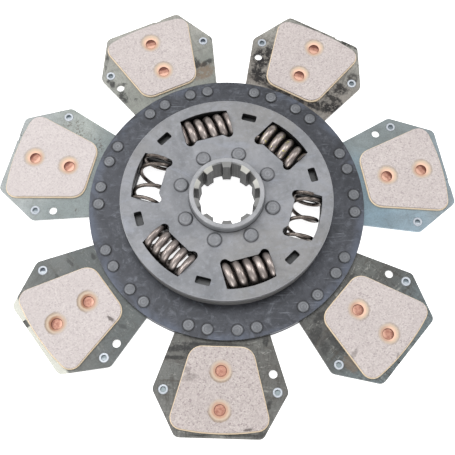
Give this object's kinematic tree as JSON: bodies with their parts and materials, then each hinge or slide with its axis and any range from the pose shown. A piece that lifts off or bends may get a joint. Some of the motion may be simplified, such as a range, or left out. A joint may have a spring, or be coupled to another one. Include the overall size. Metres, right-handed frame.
{
  "type": "clutch disc",
  "caption": "Paddle-type clutch disc with sintered button pads, a splined hub and a coil-spring torsion damper between two covers.",
  "frame": {"origin": "on the hub axis, at the joint plane between the front and rear leaves of the paddles", "axes": "+Z along the hub axis out of the nose side of the disc; -Y points close to the middle of paddle 1, and the paddles are numbered anticlockwise seen from +Z"},
  "size_m": [0.3173, 0.312, 0.0302],
  "materials": {
    "hub_steel": "bright machined steel, slightly dulled",
    "cover_steel": "even grey phosphated sheet steel",
    "hub_rivet_steel": "closed steel rivet heads, satin",
    "drive_plate_steel": "dark blued pressing with light scuffs",
    "ring_rivet_steel": "flattened steel rivet heads, satin",
    "friction_ring": "dark bonded friction washer",
    "disc_spring_steel": "oiled spring steel",
    "stiff_spring_steel": "brown oil-tempered spring wire",
    "light_spring_steel": "grey-brown oil-tempered spring wire",
    "leaf_grey": "greenish grey tempered strip steel",
    "leaf_blue": "blue heat tint on tempered strip steel",
    "leaf_black": "black heat stain on tempered strip steel",
    "pad_sinter": "pale granular sintered copper-ceramic lining",
    "pad_rivet_copper": "copper-coated rivet, satin",
    "eyelet_steel": "bright zinc-plated rolled tube rivet"
  },
  "bodies": {
    "drive": {"drive_plate": "drive_plate_steel", "clamp_ring": "drive_plate_steel", "ring_rivets": "ring_rivet_steel", "front_leaf_1": "leaf_grey", "front_leaf_2": "leaf_blue", "front_leaf_3": "leaf_blue", "front_leaf_4": "leaf_black", "front_leaf_5": "leaf_grey", "front_leaf_6": "leaf_blue", "front_leaf_7": "leaf_grey", "rear_leaf_1": "leaf_grey", "rear_leaf_2": "leaf_blue", "rear_leaf_3": "leaf_blue", "rear_leaf_4": "leaf_black", "rear_leaf_5": "leaf_grey", "rear_leaf_6": "leaf_blue", "rear_leaf_7": "leaf_grey", "front_pad_1": "pad_sinter", "front_pad_2": "pad_sinter", "front_pad_3": "pad_sinter", "front_pad_4": "pad_sinter", "front_pad_5": "pad_sinter", "front_pad_6": "pad_sinter", "front_pad_7": "pad_sinter", "rear_pad_1": "pad_sinter", "rear_pad_2": "pad_sinter", "rear_pad_3": "pad_sinter", "rear_pad_4": "pad_sinter", "rear_pad_5": "pad_sinter", "rear_pad_6": "pad_sinter", "rear_pad_7": "pad_sinter", "pad_rivets": "pad_rivet_copper", "eyelets": "eyelet_steel"},
    "hub": {"hub": "hub_steel", "front_cover": "cover_steel", "rear_cover": "cover_steel", "hub_rivets": "hub_rivet_steel", "friction_ring_front": "friction_ring", "friction_ring_rear": "friction_ring", "disc_spring": "disc_spring_steel"},
    "springs": {"spring_1": "stiff_spring_steel", "spring_2": "stiff_spring_steel", "spring_3": "light_spring_steel", "spring_4": "stiff_spring_steel", "spring_5": "stiff_spring_steel", "spring_6": "light_spring_steel"}
  },
  "joints": [
    {"name": "damper_twist", "type": "hinge", "parent": "drive", "child": "hub", "pos_m": [0, 0, 0.01125], "axis": [0, 0, 1], "range_deg": [-6, 6], "stiffness_Nm_per_rad": 6500, "deforming": ["spring_1", "spring_2", "spring_3", "spring_4", "spring_5", "spring_6"]},
    {"name": "spring_follow", "type": "hinge", "parent": "drive", "child": "springs", "pos_m": [0, 0, 0.01125], "axis": [0, 0, 1], "range_deg": [-3, 3]}
  ],
  "couplings": [
    {"joint": "spring_follow", "follows": "damper_twist", "ratio": 0.5}
  ]
}
